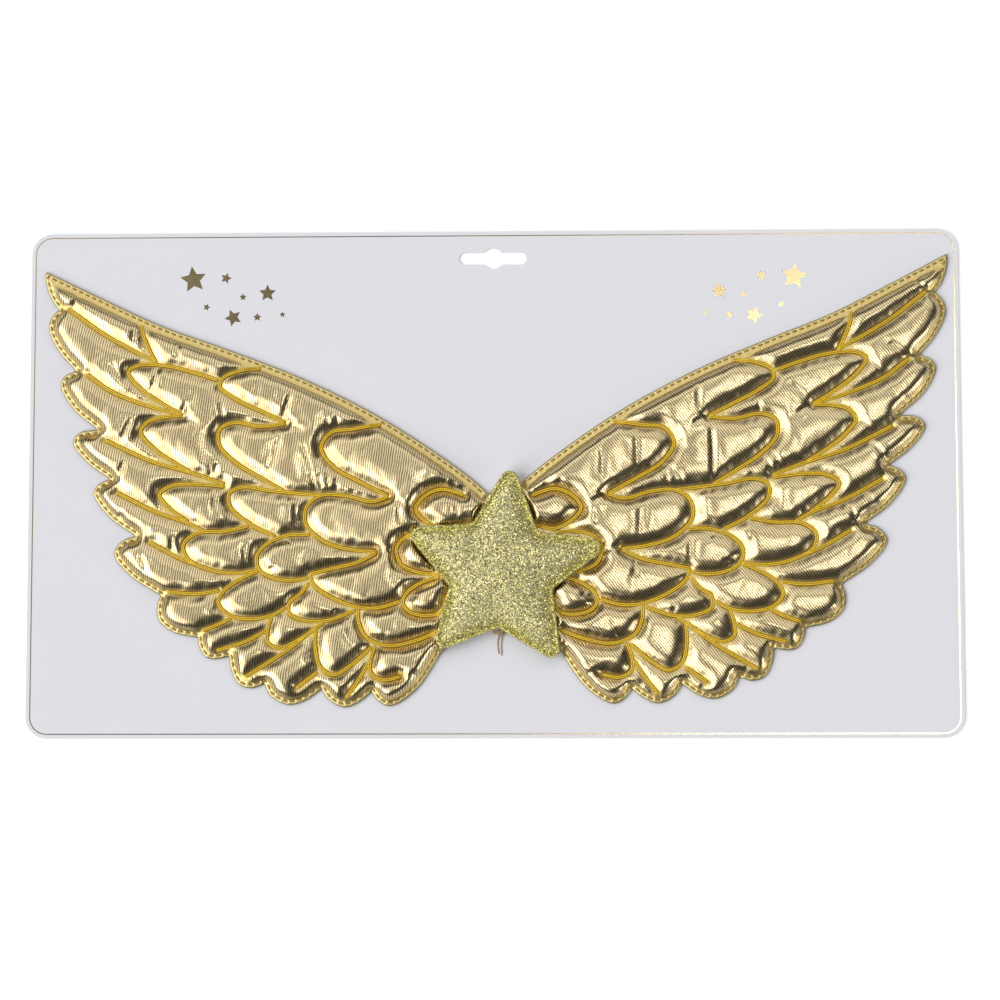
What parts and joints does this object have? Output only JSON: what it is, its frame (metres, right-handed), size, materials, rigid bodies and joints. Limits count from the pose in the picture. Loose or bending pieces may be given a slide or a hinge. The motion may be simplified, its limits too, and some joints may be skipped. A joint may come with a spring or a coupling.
{
  "type": "costume wings on display card",
  "caption": "Padded quilted wings in gold metallic cloth with a glitter star sewn over their middle, lying on a rounded card with a hang slot.",
  "frame": {"origin": "middle of the card's back face, which lies on the surface", "axes": "+X along the span towards the right wing's tip, +Y towards the card's hang slot, +Z out of the card's front"},
  "size_m": [0.44, 0.24, 0.0116],
  "materials": {
    "card": "smooth pale grey card with a faint lilac tint",
    "gold_cloth": "shiny woven gold metallic cloth",
    "glitter_cloth": "pale green gold glitter"
  },
  "bodies": {
    "root": {"card": "card", "right_wing": "gold_cloth", "left_wing": "gold_cloth", "star": "glitter_cloth"}
  },
  "joints": []
}
